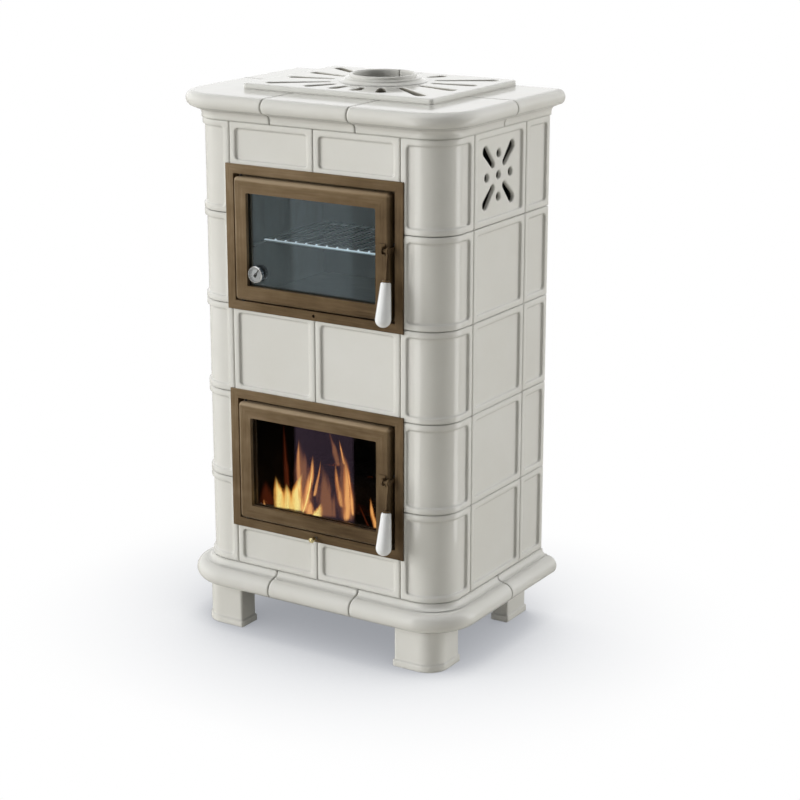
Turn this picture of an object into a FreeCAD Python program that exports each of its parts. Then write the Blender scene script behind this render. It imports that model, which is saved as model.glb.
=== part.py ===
import FreeCAD, Part
import math
import os

# Free-standing wood stove clad in glazed tiles, with an oven above the fire. Millimetres.
# The pieces are modelled with the face of the front tiles at y = 0 (front towards -Y), the middle of
# the front at x = 0 and the floor at z = 0. place() then moves them all so that the origin lies under
# the middle of the whole stove, handles included.

Vec = FreeCAD.Vector
UP = Vec(0, 0, 1)
RIGHT = Vec(1, 0, 0)
FORWARD = Vec(0, -1, 0)
BACK = Vec(0, 1, 0)
DIAGONAL = math.sqrt(0.5)

# Tiles
row_height = 200.0
front_tile_width = 215.0
corner_front = 108.0
corner_side = 115.0
side_tile_width = 220.0
rear_tile_width = 108.0
corner_radius = 76.0
tile_depth = 30.0
tile_wall = 11.0
tile_rim = 14.0
tile_joint = 1.6
tile_setback = 4.0
panel_border = 14.0
panel_depth = 5.0
panel_corner = 8.0
glaze_round = 2.2

# Pierced vent tile
vent_hole_radius = 9.0
vent_spread_along = 50.0
vent_spread_up = 46.0
vent_slot_start = 35.0
vent_slot_end = 79.0
vent_slot_start_radius = 7.5
vent_slot_end_radius = 11.0
vent_wall = 18.0

# Base and cornice mouldings, and their joints
base_height = 58.0
base_nose = 44.0
base_reach = 39.0
cornice_height = 57.0
cornice_nose = 34.0
cornice_reach = 35.0
moulding_band = 3.5
band_reach = 2.0
moulding_step = 2.5
moulding_gap = 3.0
side_joint = 234.0
shelf_thickness = 18.0

# Feet
foot_height = 92.0
foot_width = 106.0
foot_depth = 96.0
foot_leg = 52.0
foot_reach = 7.0
foot_inset = 13.0
foot_corner = 45.0
foot_edge = 4.0
rear_foot_width = 38.0
rear_foot_depth = 86.0
rear_foot_inset = 31.0
rear_foot_setback = 20.0
foot_band = 16.0
foot_band_reach = 3.0
foot_band_round = 2.5

# Top grille
grille_margin = 84.0
grille_seat = 20.0
grille_thickness = 12.0
grille_corner = 9.0
grille_round = 4.0
collar_height = 17.0
collar_width = 17.0
collar_foot = 13.0
collar_edge = 1.0
collar_hole_radius = 67.0
slot_angles = (10.0, 30.5, 51.0, 76.0, 100.0, 123.0, 152.0)
slot_collar_gap = 22.0
slot_edge_gap = 26.0
slot_inner_radius = 7.0
slot_outer_radius = 12.0
slot_round = 2.0
grille_slit = 2.0

# Carcass
plate_thickness = 4.0
plate_reach = 8.0
upright_leg = 20.0
upright_wall = 3.0
upright_gap = 1.0
shell_side_gap = 33.0
shell_wall = 4.0
shell_front_gap = 2.0
shell_back_gap = 43.0
shell_top_drop = 24.0
rear_sheet = 2.0
rear_slot_length = 90.0
rear_slot_height = 6.0
rear_slot_pitch = 18.0
rear_slot_spread = 135.0
rear_slot_rows = 5
fitting_gap = 0.5

# Flue
flue_pipe_radius = 65.0
flue_pipe_gap = 0.3
flue_wall = 2.5
flue_flange = 12.5
flue_height = 70.0
flue_depth = 275.0

# Fire chamber
hearth_rise = 11.0
hearth_thickness = 10.0
hearth_ledge = 14.0
ledge_thickness = 6.0
grate_width = 240.0
grate_depth = 170.0
grate_thickness = 7.0
grate_rebate = 8.0
grate_bar = 11.0
grate_bar_count = 10
brick_thickness = 30.0
brick_height = 290.0
baffle_thickness = 24.0
baffle_front_gap = 80.0
ash_pan_width = 300.0
ash_pan_depth = 270.0
ash_pan_height = 70.0
ash_pan_wall = 2.0

# Oven
oven_depth = 290.0
oven_wall = 3.0
runner_width = 14.0
runner_thickness = 4.0
rack_drop = 26.0
rack_setback = 50.0
rack_back_gap = 4.0
rack_wire_radius = 1.8
rack_bar_radius = 2.8
rack_wire_count = 14
rack_side_gap = 2.0
rack_gap = 0.2

# Door frames
frame_lap = 9.5
frame_border = 20.5
frame_flange = 4.0
frame_edge = 1.0
frame_wall = 4.0
seat_depth = 16.0
seat_thickness = 4.0
seat_width = 31.0

# Door leaves
leaf_gap_side = 7.0
leaf_gap_end = 4.5
leaf_proud = 15.0
leaf_thickness = 21.0
leaf_corner = 9.0
leaf_round = 8.0
view_border_side = 33.0
view_border_end = 33.0
view_corner = 3.0
glass_thickness = 4.0
glass_set_in = 9.0
glass_lap = 9.0
strip_thickness = 4.0
seal_radius = 5.5
seal_gap = 0.3
groove_depth = 1.6
seal_corner = 14.0
hinge_inset = 11.5
hinge_back = 5.5
hinge_pin_radius = 3.0
hinge_pin_depth = 14.0
hinge_collar_radius = 5.0
running_fit = 0.05
free_gap = 0.3

# Handles
handle_rise = 18.0
pivot_proud = 8.0
stud_radius = 4.0
stud_head_radius = 6.0
stud_head = 2.0
bracket_width = 16.0
bracket_height = 26.0
bracket_base = 2.5
lever_thickness = 4.0
lever_gap = 1.5
lever_eye = 8.0
lever_bar = 10.0
lever_length = 60.0
lever_nose = 8.0
lever_nose_reach = 30.0
lever_lean = 8.0
ferrule_radius = 8.0
ferrule_height = 4.0
tang_radius = 4.0
tang_length = 55.0
grip_length = 94.0
grip_top_radius = 11.0
grip_ball_radius = 17.0
grip_round = 4.0
catch_radius = 4.0

# Thermometer in the oven glass
dial_radius = 18.5
dial_edge_gap = 1.0
dial_rise = 27.0
dial_proud = 8.0
dial_recess = 4.5
bezel_width = 2.5
stem_radius = 11.0
stem_gap = 0.5
case_radius = 17.0
case_depth = 14.0
case_gap = 0.2
spindle_radius = 1.0
needle_thickness = 0.8
needle_hub_radius = 3.0
needle_width = 1.8
needle_length = 13.0
needle_tail = 7.0
needle_angle = 35.0

# Air control
air_rod_radius = 3.5
air_knob_radius = 6.5
air_knob_neck = 4.5
air_knob_length = 16.0
air_knob_stand = 8.0
shutter_width = 200.0
shutter_depth = 190.0
shutter_thickness = 3.0
shutter_setback = 60.0
guide_wall = 3.0
guide_lip = 8.0
guide_front_gap = 8.0

# Main planes
half_width = front_tile_width + corner_front
moulding_joint = front_tile_width / 2
body_depth = corner_side + side_tile_width + rear_tile_width
plate_top = foot_height + plate_thickness
base_top = plate_top + base_height
tiles_top = base_top + 5 * row_height
cornice_top = tiles_top + cornice_height
fire_middle = base_top + 1.25 * row_height
oven_middle = base_top + 3.75 * row_height
shell_half_width = half_width - tile_depth - upright_leg - shell_side_gap
shell_front = tile_depth + upright_leg + shell_front_gap
shell_inside = shell_front + shell_wall
shell_back = body_depth - shell_back_gap
shell_top = tiles_top - shell_top_drop
shelf_inside = grille_margin + grille_seat

# Door frame and leaf, measured from the middle of their opening
frame_half_width = front_tile_width + frame_lap
frame_half_height = 0.75 * row_height + frame_lap
pocket_half_width = frame_half_width - frame_border
pocket_half_height = frame_half_height - frame_border
throat_half_width = pocket_half_width + frame_wall
throat_half_height = pocket_half_height + frame_wall
throat_end = shell_inside + shell_front_gap
leaf_half_width = pocket_half_width - leaf_gap_side
leaf_half_height = pocket_half_height - leaf_gap_end
leaf_front = -leaf_proud
leaf_back = leaf_front + leaf_thickness
view_half_width = leaf_half_width - view_border_side
view_half_height = leaf_half_height - view_border_end
glass_front = leaf_front + glass_set_in
glass_back = glass_front + glass_thickness
glass_half_width = view_half_width + glass_lap
glass_half_height = view_half_height + glass_lap
seal_half_width = (glass_half_width + leaf_half_width) / 2
seal_half_height = (glass_half_height + leaf_half_height) / 2
hinge_x = -leaf_half_width + hinge_inset
hinge_y = leaf_back - hinge_back
air_hole_drop = frame_half_height - frame_border / 2
hearth_drop = pocket_half_height - hearth_rise

# Handle, measured from the pivot
pivot_y = leaf_front - pivot_proud
lever_left = leaf_half_width + lever_gap
lever_right = lever_left + lever_thickness
grip_axis_x = (lever_left + lever_right) / 2
grip_top = -lever_length - ferrule_height
ball_drop = -grip_top + grip_length - grip_ball_radius
lean = math.radians(lever_lean)
front_reach = -(pivot_y - ball_drop * math.sin(lean) - grip_ball_radius)

# The origin lies under the middle of the depth from the grips to the back.
origin_shift = (front_reach - body_depth) / 2


def block(x0, x1, y0, y1, z0, z1):
    return Part.makeBox(x1 - x0, y1 - y0, z1 - z0, Vec(x0, y0, z0))


def rod(radius, start, end):
    span = end.sub(start)
    return Part.makeCylinder(radius, span.Length, start, span)


def joined(first, *others):
    return first.multiFuse(list(others)).removeSplitter()


def mirrored(shape):
    return shape.mirror(Vec(0, 0, 0), RIGHT)


def edges_where(shape, test):
    return [edge for edge in shape.Edges if test(edge)]


def runs_along(edge, axis):
    middle = (edge.FirstParameter + edge.LastParameter) / 2
    return abs(edge.tangentAt(middle).dot(axis)) > 0.999


def lies_at_depth(edge, depth, depth_of):
    middle = (edge.FirstParameter + edge.LastParameter) / 2
    points = [edge.valueAt(edge.FirstParameter), edge.valueAt(middle), edge.valueAt(edge.LastParameter)]
    return all(abs(depth_of(point) - depth) < 1e-6 for point in points)


def outline(start, *steps):
    """A face in the X-Z plane. A step of two numbers is a line, one of four an arc by way of a point."""
    here = Vec(start[0], 0, start[1])
    first = here
    edges = []
    for step in steps:
        there = Vec(step[-2], 0, step[-1])
        if len(step) == 4:
            edges.append(Part.Arc(here, Vec(step[0], 0, step[1]), there).toShape())
        else:
            edges.append(Part.LineSegment(here, there).toShape())
        here = there
    edges.append(Part.LineSegment(here, first).toShape())
    return Part.Face(Part.Wire(edges))


def turned(face, base, axis):
    """The face spun about its own Z, set on the base point with that Z along the axis."""
    solid = face.revolve(Vec(0, 0, 0), UP, 360)
    solid.Placement = FreeCAD.Placement(base, FreeCAD.Rotation(UP, axis))
    return solid


def rounded_block(x0, x1, y0, y1, z0, z1, radius, axis):
    """A block with the four edges along the axis rounded."""
    solid = block(x0, x1, y0, y1, z0, z1)
    return solid.makeFillet(radius, edges_where(solid, lambda edge: runs_along(edge, axis)))


def window(half_width, half_height, y0, y1, middle):
    return block(-half_width, half_width, y0, y1, middle - half_height, middle + half_height)


def tapered_slot(start, end, start_radius, end_radius, thickness):
    """A slot in the X-Y plane, round at both ends and wider at one, rising along Z."""
    span = end.sub(start)
    along = Vec(span).normalize()
    across = UP.cross(along)
    lean_in = (start_radius - end_radius) / span.Length
    left = along * lean_in + across * math.sqrt(1 - lean_in ** 2)
    right = along * lean_in - across * math.sqrt(1 - lean_in ** 2)
    corners = [start + left * start_radius, end + left * end_radius,
               end + right * end_radius, start + right * start_radius]
    edges = [Part.LineSegment(corners[0], corners[1]).toShape(),
             Part.Arc(corners[1], end + along * end_radius, corners[2]).toShape(),
             Part.LineSegment(corners[2], corners[3]).toShape(),
             Part.Arc(corners[3], start - along * start_radius, corners[0]).toShape()]
    return Part.Face(Part.Wire(edges)).extrude(UP * thickness)


def flat_depth(point):
    return point.y


def glazed_edges(tile, depth_of):
    """Soften the rim and the floor of a tile's recessed panel, and the tile's own front edges."""
    soft = edges_where(tile, lambda edge: lies_at_depth(edge, 0, depth_of)
                       or lies_at_depth(edge, panel_depth, depth_of))
    return tile.makeFillet(min(glaze_round, 0.45 * panel_depth), soft)


def flat_tile(width, height, wall=tile_wall, piercings=()):
    """A tile standing in the X-Z plane, face at y = 0, hollow behind, with a recessed panel in front."""
    tile = block(0, width, 0, tile_depth, 0, height)
    panel = rounded_block(panel_border, width - panel_border, -1, panel_depth,
                          panel_border, height - panel_border, panel_corner, BACK)
    hollow = block(tile_rim, width - tile_rim, wall, tile_depth + 1, tile_rim, height - tile_rim)
    return glazed_edges(tile.cut([panel, hollow] + list(piercings)), flat_depth)


def on_right_side(tile, near, bottom):
    """Turn a flat tile to face +X and set its near edge at the given depth."""
    turned_tile = tile.copy()
    turned_tile.rotate(Vec(0, 0, 0), UP, 90)
    turned_tile.translate(Vec(half_width, near, bottom))
    return turned_tile


def corner_strip(outer, inner, from_joint, to_joint, bottom, top):
    """An upright strip that follows the rounded corner, between two depths below the tile faces."""
    x0 = front_tile_width + from_joint
    y1 = corner_side - to_joint
    turn_x = half_width - corner_radius
    middle = Vec(turn_x, corner_radius, bottom)
    slant = Vec(DIAGONAL, -DIAGONAL, 0)

    def path(depth):
        radius = corner_radius - depth
        return [Vec(x0, depth, bottom), Vec(turn_x, depth, bottom), middle + slant * radius,
                Vec(half_width - depth, corner_radius, bottom), Vec(half_width - depth, y1, bottom)]

    a = path(outer)
    b = path(inner)
    edges = [Part.LineSegment(a[0], a[1]).toShape(), Part.Arc(a[1], a[2], a[3]).toShape(),
             Part.LineSegment(a[3], a[4]).toShape(), Part.LineSegment(a[4], b[4]).toShape(),
             Part.LineSegment(b[4], b[3]).toShape(), Part.Arc(b[3], b[2], b[1]).toShape(),
             Part.LineSegment(b[1], b[0]).toShape(), Part.LineSegment(b[0], a[0]).toShape()]
    return Part.Face(Part.Wire(edges)).extrude(UP * (top - bottom))


def corner_tile():
    """A right-hand corner tile with its bottom at z = 0."""
    height = row_height - tile_joint
    edge = tile_joint / 2
    tile = corner_strip(0, tile_depth, edge, edge, 0, height)
    panel = corner_strip(-1, panel_depth, edge + panel_border, edge + panel_border,
                         panel_border, height - panel_border)
    ends = edges_where(panel, lambda line: line.Length < panel_depth + 1.5)
    panel = panel.makeFillet(panel_corner, ends)
    hollow = corner_strip(tile_wall, tile_depth + 1, edge + tile_rim, edge + tile_rim,
                          tile_rim, height - tile_rim)
    return glazed_edges(tile.cut([panel, hollow]), corner_depth)


def corner_depth(point):
    """How far a point lies below the outer face of the right-hand corner column."""
    turn_x = half_width - corner_radius
    if point.x <= turn_x:
        return point.y
    if point.y >= corner_radius:
        return half_width - point.x
    return corner_radius - math.hypot(point.x - turn_x, point.y - corner_radius)


def vent_piercings(width, height):
    """Five round holes in a cross and four slots between its arms, through the wall of a tile."""
    centres = [(0, 0), (vent_spread_along, 0), (-vent_spread_along, 0),
               (0, vent_spread_up), (0, -vent_spread_up)]
    cutters = [Part.makeCylinder(vent_hole_radius, 2 * tile_depth, Vec(x, y, -tile_depth))
               for x, y in centres]
    for quarter in range(4):
        angle = math.radians(45 + 90 * quarter)
        way = Vec(math.cos(angle), math.sin(angle), 0)
        slot = tapered_slot(way * vent_slot_start, way * vent_slot_end,
                            vent_slot_start_radius, vent_slot_end_radius, 2 * tile_depth)
        slot.translate(UP * -tile_depth)
        cutters.append(slot)
    for cutter in cutters:
        cutter.rotate(Vec(0, 0, 0), RIGHT, 90)
        cutter.translate(Vec(width / 2, 0, height / 2))
    return cutters


def moulding_section(height, nose, reach, rise):
    """Band, hollow, step and half-round nose; u is out from the tile face, v from the tiles' edge."""
    nose_middle = reach - nose / 2
    nose_start = height - nose
    hollow_out = nose_middle - 2 * moulding_step
    hollow_top = nose_start - moulding_step
    hollow_wide = hollow_out - band_reach
    hollow_high = hollow_top - moulding_band
    step_out = hollow_out + moulding_step
    return outline((-tile_depth, 0),
                   (band_reach, 0),
                   (band_reach, rise * moulding_band),
                   (hollow_out - DIAGONAL * hollow_wide, rise * (moulding_band + DIAGONAL * hollow_high),
                    hollow_out, rise * hollow_top),
                   (step_out, rise * hollow_top),
                   (step_out, rise * nose_start),
                   (nose_middle, rise * nose_start),
                   (reach, rise * (height - nose / 2), nose_middle, rise * height),
                   (-tile_depth, rise * height))


def along_front(section, x0, x1, level):
    face = section.copy()
    face.rotate(Vec(0, 0, 0), UP, -90)
    face.translate(Vec(x0, 0, level))
    return face.extrude(RIGHT * (x1 - x0))


def along_side(section, y0, y1, level):
    face = section.copy()
    face.translate(Vec(half_width, y0, level))
    return face.extrude(BACK * (y1 - y0))


def round_corner(section, x0, y1, level):
    """A right-hand corner piece: a stretch of front, a quarter turn and a stretch of side."""
    turn_x = half_width - corner_radius
    face = section.copy()
    face.rotate(Vec(0, 0, 0), UP, -90)
    face.translate(Vec(turn_x, 0, level))
    bend = face.revolve(Vec(turn_x, corner_radius, 0), UP, 90)
    front = along_front(section, x0, turn_x, level)
    return joined(front, bend, along_side(section, corner_radius, y1, level))


def place(name, *solids):
    """Move the finished solids into the stove's frame and write them as one node."""
    node = solids[0] if len(solids) == 1 else Part.makeCompound(list(solids))
    node = node.copy()
    node.translate(BACK * origin_shift)
    node.exportStep("parts/" + name + ".step")


def place_both_sides(name, *solids):
    place(name + "_right", *solids)
    place(name + "_left", *[mirrored(solid) for solid in solids])


def make_feet():
    """Ceramic feet with a proud band at the floor; the front pair is L-shaped with a round corner."""
    def front_plan(grow, bottom, top):
        x0 = half_width - foot_inset - foot_width - grow
        x1 = half_width - foot_inset + grow
        y0 = -foot_reach - grow
        y1 = foot_depth - foot_reach + grow
        leg = foot_leg + 2 * grow
        solid = block(x0, x1, y0, y1, bottom, top).cut(block(x0 - 1, x1 - leg, y0 + leg, y1 + 1, bottom, top))

        def at_corner(edge):
            return edge.BoundBox.XMin > x1 - 1e-3 and edge.BoundBox.YMax < y0 + 1e-3

        others = edges_where(solid, lambda edge: runs_along(edge, UP) and not at_corner(edge))
        solid = solid.makeFillet(foot_edge, others)
        return solid.makeFillet(foot_corner + grow, edges_where(solid, at_corner))

    def rear_plan(grow, bottom, top):
        x1 = half_width - rear_foot_inset + grow
        y1 = body_depth - rear_foot_setback + grow
        return rounded_block(x1 - rear_foot_width - 2 * grow, x1, y1 - rear_foot_depth - 2 * grow, y1,
                             bottom, top, foot_edge, UP)

    for name, plan in (("foot_front", front_plan), ("foot_rear", rear_plan)):
        band = plan(foot_band_reach, 0, foot_band)
        band = band.makeFillet(foot_band_round, edges_where(band, lambda edge: edge.BoundBox.ZLength < 1e-3))
        place_both_sides(name, joined(plan(0, 0, foot_height), band))


def make_base():
    section = moulding_section(base_height, base_nose, base_reach, -1)
    gap = moulding_gap / 2
    place("base_front", along_front(section, gap - moulding_joint, moulding_joint - gap, base_top))
    place_both_sides("base_corner", round_corner(section, moulding_joint + gap, side_joint - gap, base_top))
    place_both_sides("base_side", along_side(section, side_joint + gap, body_depth, base_top))


def make_cornice():
    """Cornice mouldings with a shelf on their inner side that carries the grille."""
    section = moulding_section(cornice_height, cornice_nose, cornice_reach, 1)
    gap = moulding_gap / 2
    shelf_bottom = cornice_top - shelf_thickness
    root = tile_depth - shelf_thickness / 2
    inner_x = half_width - shelf_inside
    front = along_front(section, gap - moulding_joint, moulding_joint - gap, tiles_top)
    shelf = block(gap - moulding_joint, moulding_joint - gap, root, shelf_inside, shelf_bottom, cornice_top)
    place("cornice_front", joined(front, shelf))
    corner = round_corner(section, moulding_joint + gap, side_joint - gap, tiles_top)
    corner_x = half_width - corner_radius
    front_shelf = block(moulding_joint + gap, corner_x, root, shelf_inside, shelf_bottom, cornice_top)
    side_shelf = block(inner_x, half_width - root, corner_radius, side_joint - gap, shelf_bottom, cornice_top)
    quarter = Part.makeCylinder(corner_radius - root, shelf_thickness,
                                Vec(corner_x, corner_radius, shelf_bottom), UP)
    place_both_sides("cornice_corner", joined(corner, front_shelf, side_shelf, quarter))
    side = along_side(section, side_joint + gap, body_depth, tiles_top)
    shelf = block(inner_x, half_width - root, side_joint + gap, body_depth, shelf_bottom, cornice_top)
    place_both_sides("cornice_side", joined(side, shelf))


def make_front_tiles():
    """Two tiles below the fire opening, two between the openings and two above the oven opening."""
    gap = tile_joint / 2
    width = front_tile_width - tile_joint
    bands = (("bottom", gap, 0.5 * row_height - tile_setback),
             ("middle", 2 * row_height + tile_setback, 3 * row_height - tile_setback),
             ("top", 4.5 * row_height + tile_setback, 5 * row_height - gap))
    for name, bottom, top in bands:
        tile = flat_tile(width, top - bottom)
        right = tile.copy()
        right.translate(Vec(gap, 0, base_top + bottom))
        place("front_tiles_" + name, right, mirrored(right))


def make_side_tiles():
    """Corner columns, full side tiles and narrow rear tiles; the top full tile on each side is pierced."""
    gap = tile_joint / 2
    height = row_height - tile_joint
    corner = corner_tile()
    full_width = side_tile_width - tile_joint
    full = flat_tile(full_width, height)
    narrow = flat_tile(rear_tile_width - tile_joint, height)
    vent = flat_tile(full_width, height, vent_wall, vent_piercings(full_width, height))
    corners = []
    plain = []
    for row in range(5):
        bottom = base_top + row * row_height + gap
        lifted = corner.copy()
        lifted.translate(UP * bottom)
        corners.append(lifted)
        plain.append(on_right_side(narrow, corner_side + side_tile_width + gap, bottom))
        if row < 4:
            plain.append(on_right_side(full, corner_side + gap, bottom))
    place_both_sides("corner_tiles", *corners)
    place_both_sides("side_tiles", *plain)
    place_both_sides("vent_tile", on_right_side(vent, corner_side + gap, bottom))


def make_grille():
    """Ceramic plate with radial slots, lying on the cornice shelf, and the moulded flue collar set in it."""
    half = half_width - grille_margin
    top = cornice_top + grille_thickness
    hole = collar_hole_radius
    lip = hole + 0.4 * collar_width
    base = hole + collar_width
    below = cornice_top - grille_thickness
    slot_start = base + collar_foot + slot_collar_gap
    room_x = half - slot_edge_gap - slot_outer_radius
    slots = []
    for degrees in slot_angles:
        angle = math.radians(degrees)
        way = Vec(math.sin(angle), -math.cos(angle), 0)
        edge_y = body_depth - slot_edge_gap if way.y > 0 else grille_margin + slot_edge_gap
        room_y = abs(edge_y - flue_depth) - slot_outer_radius
        slot_end = min(room_x / abs(way.x), room_y / abs(way.y))
        slot = tapered_slot(way * slot_start, way * slot_end, slot_inner_radius,
                            slot_outer_radius, 3 * grille_thickness)
        slot.translate(Vec(0, flue_depth, below))
        slots += [slot, mirrored(slot)]
    plate = rounded_block(-half, half, grille_margin, body_depth, cornice_top, top, grille_corner, UP)
    plate = plate.makeFillet(grille_round, edges_where(plate, lambda edge: edge.BoundBox.ZMin > top - 1e-6))
    plate = plate.cut(slots)
    inside = half - slot_edge_gap / 2
    plate = plate.makeFillet(slot_round, edges_where(plate, lambda edge: edge.BoundBox.ZMin > top - 1e-6
                                                     and edge.BoundBox.XMax < inside
                                                     and edge.BoundBox.XMin > -inside))
    foot_rise = 0.35 * collar_height - collar_edge
    foot_radius = (collar_foot ** 2 + foot_rise ** 2) / (2 * foot_rise)
    foot_sag = foot_radius - math.sqrt(foot_radius ** 2 - (collar_foot / 2) ** 2)
    collar = turned(outline((hole, -grille_thickness), (hole, collar_height - collar_width / 8),
                            (hole + 0.2 * collar_width, collar_height, lip, collar_height - collar_width / 8),
                            (lip, 0.6 * collar_height),
                            (base, 0.5 * collar_height),
                            (base, foot_rise + collar_edge),
                            (base + collar_foot / 2, foot_sag + collar_edge, base + collar_foot, collar_edge),
                            (base + collar_foot, 0),
                            (base, 0),
                            (base, -grille_thickness)),
                    Vec(0, flue_depth, top), UP)
    seat = Part.makeCylinder(base + fitting_gap, 3 * grille_thickness, Vec(0, flue_depth, below))
    slit = block(-grille_slit / 2, grille_slit / 2, flue_depth, body_depth + 1,
                 cornice_top - 1, top + collar_height + 1)
    place("top_grille", plate.cut([seat, slit]), collar.cut(slit))


def make_carcass():
    """Base plate on the feet, angle uprights behind the tile joints, and the sheet that closes the back."""
    half = half_width + plate_reach
    plate = block(-half, half, -plate_reach, body_depth, foot_height, plate_top)
    front = edges_where(plate, lambda edge: runs_along(edge, UP) and edge.BoundBox.YMax < 0)
    place("base_plate", plate.makeFillet(corner_radius + plate_reach, front))

    tile_back = half_width - tile_depth
    inner = tile_back - upright_leg
    panel_front = body_depth - rear_sheet
    near = throat_half_width + upright_gap
    uprights = [joined(block(near, near + upright_leg, tile_depth, tile_depth + upright_wall,
                             plate_top, tiles_top),
                       block(near + upright_leg - upright_wall, near + upright_leg, tile_depth,
                             tile_depth + upright_leg, plate_top, tiles_top))]
    for end in (corner_side + upright_leg / 2, corner_side + side_tile_width + upright_leg / 2, panel_front):
        uprights.append(joined(block(tile_back - upright_wall, tile_back, end - upright_leg, end,
                                     plate_top, tiles_top),
                               block(inner, tile_back, end - upright_wall, end, plate_top, tiles_top)))
    place("uprights", *uprights, *[mirrored(upright) for upright in uprights])

    wide = tile_back - fitting_gap
    narrow = half_width - shelf_inside - fitting_gap
    below_shelf = cornice_top - shelf_thickness - fitting_gap
    panel = joined(block(-wide, wide, panel_front, body_depth, plate_top, below_shelf),
                   block(-narrow, narrow, panel_front, body_depth, below_shelf, cornice_top))
    cutters = []
    for row in range(rear_slot_rows):
        for level in (base_top + (row + 1) * rear_slot_pitch, tiles_top - (row + 1) * rear_slot_pitch):
            for middle in (-rear_slot_spread, 0, rear_slot_spread):
                cutters.append(block(middle - rear_slot_length / 2, middle + rear_slot_length / 2,
                                     panel_front - 1, body_depth + 1, level, level + rear_slot_height))
    place("rear_panel", panel.cut(cutters))


def make_shell():
    """Welded steel shell round the fire and the oven, with its front plate and the flue spigot."""
    half = shell_half_width
    inner = half - shell_wall
    back = shell_back - shell_wall
    ledge_top = fire_middle - hearth_drop - hearth_thickness
    side = block(inner, half, shell_inside, back, plate_top, shell_top)
    ledge = block(inner - hearth_ledge, inner, throat_end + fitting_gap, back,
                  ledge_top - ledge_thickness, ledge_top)
    rear = block(-half, half, back, shell_back, plate_top, shell_top)
    floor = block(-inner, inner, shell_inside, back, plate_top, plate_top + shell_wall)
    stop_radius = flue_pipe_radius - flue_wall
    top = block(-inner, inner, shell_inside, back, shell_top - shell_wall, shell_top)
    top = top.cut(rod(stop_radius, Vec(0, flue_depth, shell_top - 2 * shell_wall),
                      Vec(0, flue_depth, shell_top + 1)))
    place("shell_walls", side, mirrored(side), ledge, mirrored(ledge), rear, floor, top)

    front = block(-half, half, shell_front, shell_inside, plate_top, shell_top)
    openings = [window(throat_half_width + fitting_gap, throat_half_height + fitting_gap,
                       shell_front - 1, shell_inside + 1, middle) for middle in (fire_middle, oven_middle)]
    air_hole = rod(air_rod_radius + running_fit, Vec(0, shell_front - 1, fire_middle - air_hole_drop),
                   Vec(0, shell_inside + 1, fire_middle - air_hole_drop))
    place("shell_front", front.cut(openings + [air_hole]))

    bore = flue_pipe_radius + flue_pipe_gap
    place("flue_spigot", turned(outline((bore, 0), (bore, flue_height), (bore + flue_wall, flue_height),
                                        (bore + flue_wall, flue_wall), (bore + flue_flange, flue_wall),
                                        (bore + flue_flange, 0)),
                                Vec(0, flue_depth, shell_top), UP))


def make_fire_chamber():
    """Hearth plate with a let-in grate, firebricks, smoke baffle and the ash pan underneath."""
    inner = shell_half_width - shell_wall - fitting_gap
    back = shell_back - shell_wall - fitting_gap
    front = throat_end + fitting_gap
    hearth_top = fire_middle - hearth_drop
    hearth_bottom = hearth_top - hearth_thickness
    grate_middle = (shell_inside + shell_back) / 2

    def grate_block(grow, bottom, top):
        return block(-grate_width / 2 - grow, grate_width / 2 + grow, grate_middle - grate_depth / 2 - grow,
                     grate_middle + grate_depth / 2 + grow, bottom, top)

    hearth = block(-inner, inner, front, back, hearth_bottom, hearth_top)
    hearth = hearth.cut([grate_block(fitting_gap, hearth_top - grate_thickness, hearth_top + 1),
                         grate_block(-grate_rebate, hearth_bottom - 1, hearth_top + 1)])
    air_level = fire_middle - air_hole_drop
    lip_top = air_level - shutter_thickness / 2 - free_gap
    guide_out = shutter_width / 2 + free_gap
    guide_end = shell_inside + shutter_setback + shutter_depth
    guide_start = shell_inside + guide_front_gap
    web = block(guide_out, guide_out + guide_wall, guide_start, guide_end,
                lip_top - guide_wall, hearth_bottom)
    lip = block(guide_out - guide_lip, guide_out, guide_start, guide_end, lip_top - guide_wall, lip_top)
    place("hearth_plate", hearth, web, mirrored(web), lip, mirrored(lip))

    grate = grate_block(0, hearth_top - grate_thickness, hearth_top)
    rim = grate_rebate + grate_bar
    pitch = (grate_width - 2 * rim + grate_bar) / grate_bar_count
    slots = []
    for index in range(grate_bar_count):
        x0 = rim - grate_width / 2 + index * pitch
        slots.append(block(x0, x0 + pitch - grate_bar, grate_middle - grate_depth / 2 + rim,
                           grate_middle + grate_depth / 2 - rim, hearth_bottom, hearth_top + 1))
    place("fire_grate", grate.cut(slots))

    brick_top = hearth_top + brick_height
    back_face = back - brick_thickness
    side_brick = block(inner - brick_thickness, inner, front, back_face, hearth_top, brick_top)
    back_brick = block(-inner, inner, back_face, back, hearth_top, brick_top)
    place("firebricks", side_brick, mirrored(side_brick), back_brick)
    place("smoke_baffle", block(-inner, inner, shell_inside + baffle_front_gap, back,
                                brick_top, brick_top + baffle_thickness))

    pan_bottom = plate_top + shell_wall
    pan_front = grate_middle - ash_pan_depth / 2
    pan_back = pan_front + ash_pan_depth
    pan_half = ash_pan_width / 2
    pan_floor = pan_bottom + ash_pan_wall
    pan_top = pan_bottom + ash_pan_height
    pan_side = block(pan_half - ash_pan_wall, pan_half, pan_front, pan_back, pan_floor, pan_top)
    end_half = pan_half - ash_pan_wall
    pan_ends = [block(-end_half, end_half, y, y + ash_pan_wall, pan_floor, pan_top)
                for y in (pan_front, pan_back - ash_pan_wall)]
    place("ash_pan", block(-pan_half, pan_half, pan_front, pan_back, pan_bottom, pan_floor),
          pan_side, mirrored(pan_side), *pan_ends)


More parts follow.
